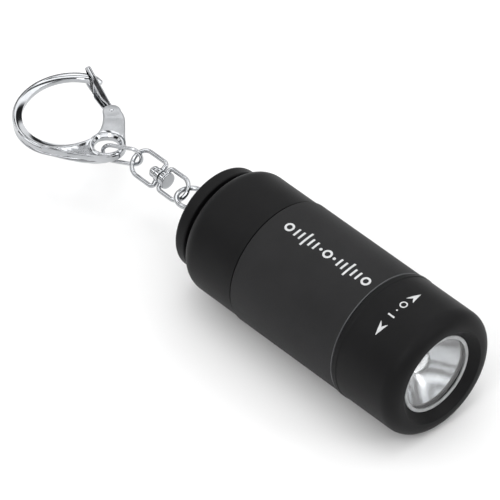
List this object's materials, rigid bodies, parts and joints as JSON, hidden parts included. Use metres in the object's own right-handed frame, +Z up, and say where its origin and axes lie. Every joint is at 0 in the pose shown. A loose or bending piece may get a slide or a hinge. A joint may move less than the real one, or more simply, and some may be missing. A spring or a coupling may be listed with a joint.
{
  "type": "keychain flashlight",
  "caption": "Short twist-head pocket torch with a pull-off tail cap over a charging plug, and a swivel chain with a snap hook.",
  "frame": {"origin": "under the middle of the whole object's box, on the surface that the torch lies on", "axes": "+Y along the torch from the light to the snap hook, +X across it, +Z up; the torch lies on its side with its chain and hook drawn out in line at the height of its axis"},
  "size_m": [0.0252, 0.108, 0.0252],
  "materials": {
    "head_plastic": "fine moulded satin, soft to the touch",
    "barrel_plastic": "matte moulded sleeve with a pale printed mark",
    "clear_plastic": "clear polished window",
    "mirror_coat": "vacuum-metallised cup",
    "phosphor": "cast yellow phosphor",
    "board_green": "green solder mask",
    "gold_contact": "gold flash on spring brass",
    "cell_nickel": "nickel-plated cell can",
    "seal_rubber": "matte black rubber",
    "carrier_plastic": "plain moulded inner tube",
    "cell_film": "shrunk green film",
    "chip_black": "moulded black package",
    "ceramic_tan": "fired tan ceramic",
    "lamp_red": "small red diode",
    "plug_steel": "stamped and folded plug shell",
    "chain_chrome": "bright chrome plate",
    "spring_steel": "drawn wire"
  },
  "bodies": {
    "barrel": {"body_sleeve": "barrel_plastic", "core_tube": "carrier_plastic", "head_o_ring": "seal_rubber", "tail_o_ring": "seal_rubber", "switch_board": "board_green", "switch_pad_left": "gold_contact", "switch_pad_right": "gold_contact", "cell_front": "cell_nickel", "cell_middle": "cell_nickel", "cell_rear": "cell_nickel", "cell_wrap": "cell_film", "battery_tab_front": "cell_nickel", "battery_tab_rear": "cell_nickel", "main_board": "board_green", "charge_chip": "chip_black", "charge_resistor": "chip_black", "charge_capacitor": "ceramic_tan", "charge_lamp": "lamp_red", "end_plate": "carrier_plastic", "usb_shell": "plug_steel", "usb_tongue": "chip_black", "usb_contact_1": "gold_contact", "usb_contact_2": "gold_contact", "usb_contact_3": "gold_contact", "usb_contact_4": "gold_contact"},
    "head": {"head_shell": "head_plastic", "lens": "clear_plastic", "lens_gasket": "seal_rubber", "reflector": "mirror_coat", "led_dome": "clear_plastic", "led_chip": "phosphor", "led_board": "board_green", "wiper_left": "gold_contact", "wiper_right": "gold_contact"},
    "cap": {"tail_cap": "head_plastic"},
    "ring": {"tail_ring": "chain_chrome"},
    "swivel_rear": {"swivel_rear_bow": "chain_chrome", "swivel_rivet": "chain_chrome"},
    "swivel_front": {"swivel_front_bow": "chain_chrome"},
    "link": {"oval_link": "chain_chrome"},
    "hook": {"hook_body": "chain_chrome", "gate_pin": "chain_chrome", "gate_spring": "spring_steel"},
    "gate": {"hook_gate": "chain_chrome"}
  },
  "joints": [
    {"name": "head_twist", "type": "hinge", "parent": "barrel", "child": "head", "pos_m": [0, -0.04604, 0.01261], "axis": [0, 1, 0], "range_deg": [0, 45]},
    {"name": "cap_pull", "type": "slide", "parent": "barrel", "child": "cap", "axis": [0, 1, 0], "range_m": [0, 0.018]},
    {"name": "ring_swing", "type": "hinge", "parent": "cap", "child": "ring", "pos_m": [0, 0.00816, 0.01261], "axis": [1, 0, 0], "range_deg": [-60, 60]},
    {"name": "swivel_swing", "type": "hinge", "parent": "ring", "child": "swivel_rear", "pos_m": [0, 0.01366, 0.01261], "axis": [1, 0, 0], "range_deg": [-30, 30]},
    {"name": "swivel_spin", "type": "hinge", "parent": "swivel_rear", "child": "swivel_front", "pos_m": [0, 0.01894, 0.01261], "axis": [0, 1, 0], "continuous": true},
    {"name": "link_swing", "type": "hinge", "parent": "swivel_front", "child": "link", "pos_m": [0.00045, 0.02619, 0.01301], "axis": [0.7431, 0, 0.6691], "range_deg": [-25, 25]},
    {"name": "hook_swing", "type": "hinge", "parent": "link", "child": "hook", "pos_m": [-0.00314, 0.03139, 0.01261], "axis": [0, 0, 1], "range_deg": [-25, 25]},
    {"name": "gate_open", "type": "hinge", "parent": "hook", "child": "gate", "pos_m": [0.00454, 0.03759, 0.01261], "axis": [0, 0, 1], "range_deg": [0, 45], "stiffness_Nm_per_rad": 0.008, "springref_deg": -20.05}
  ]
}
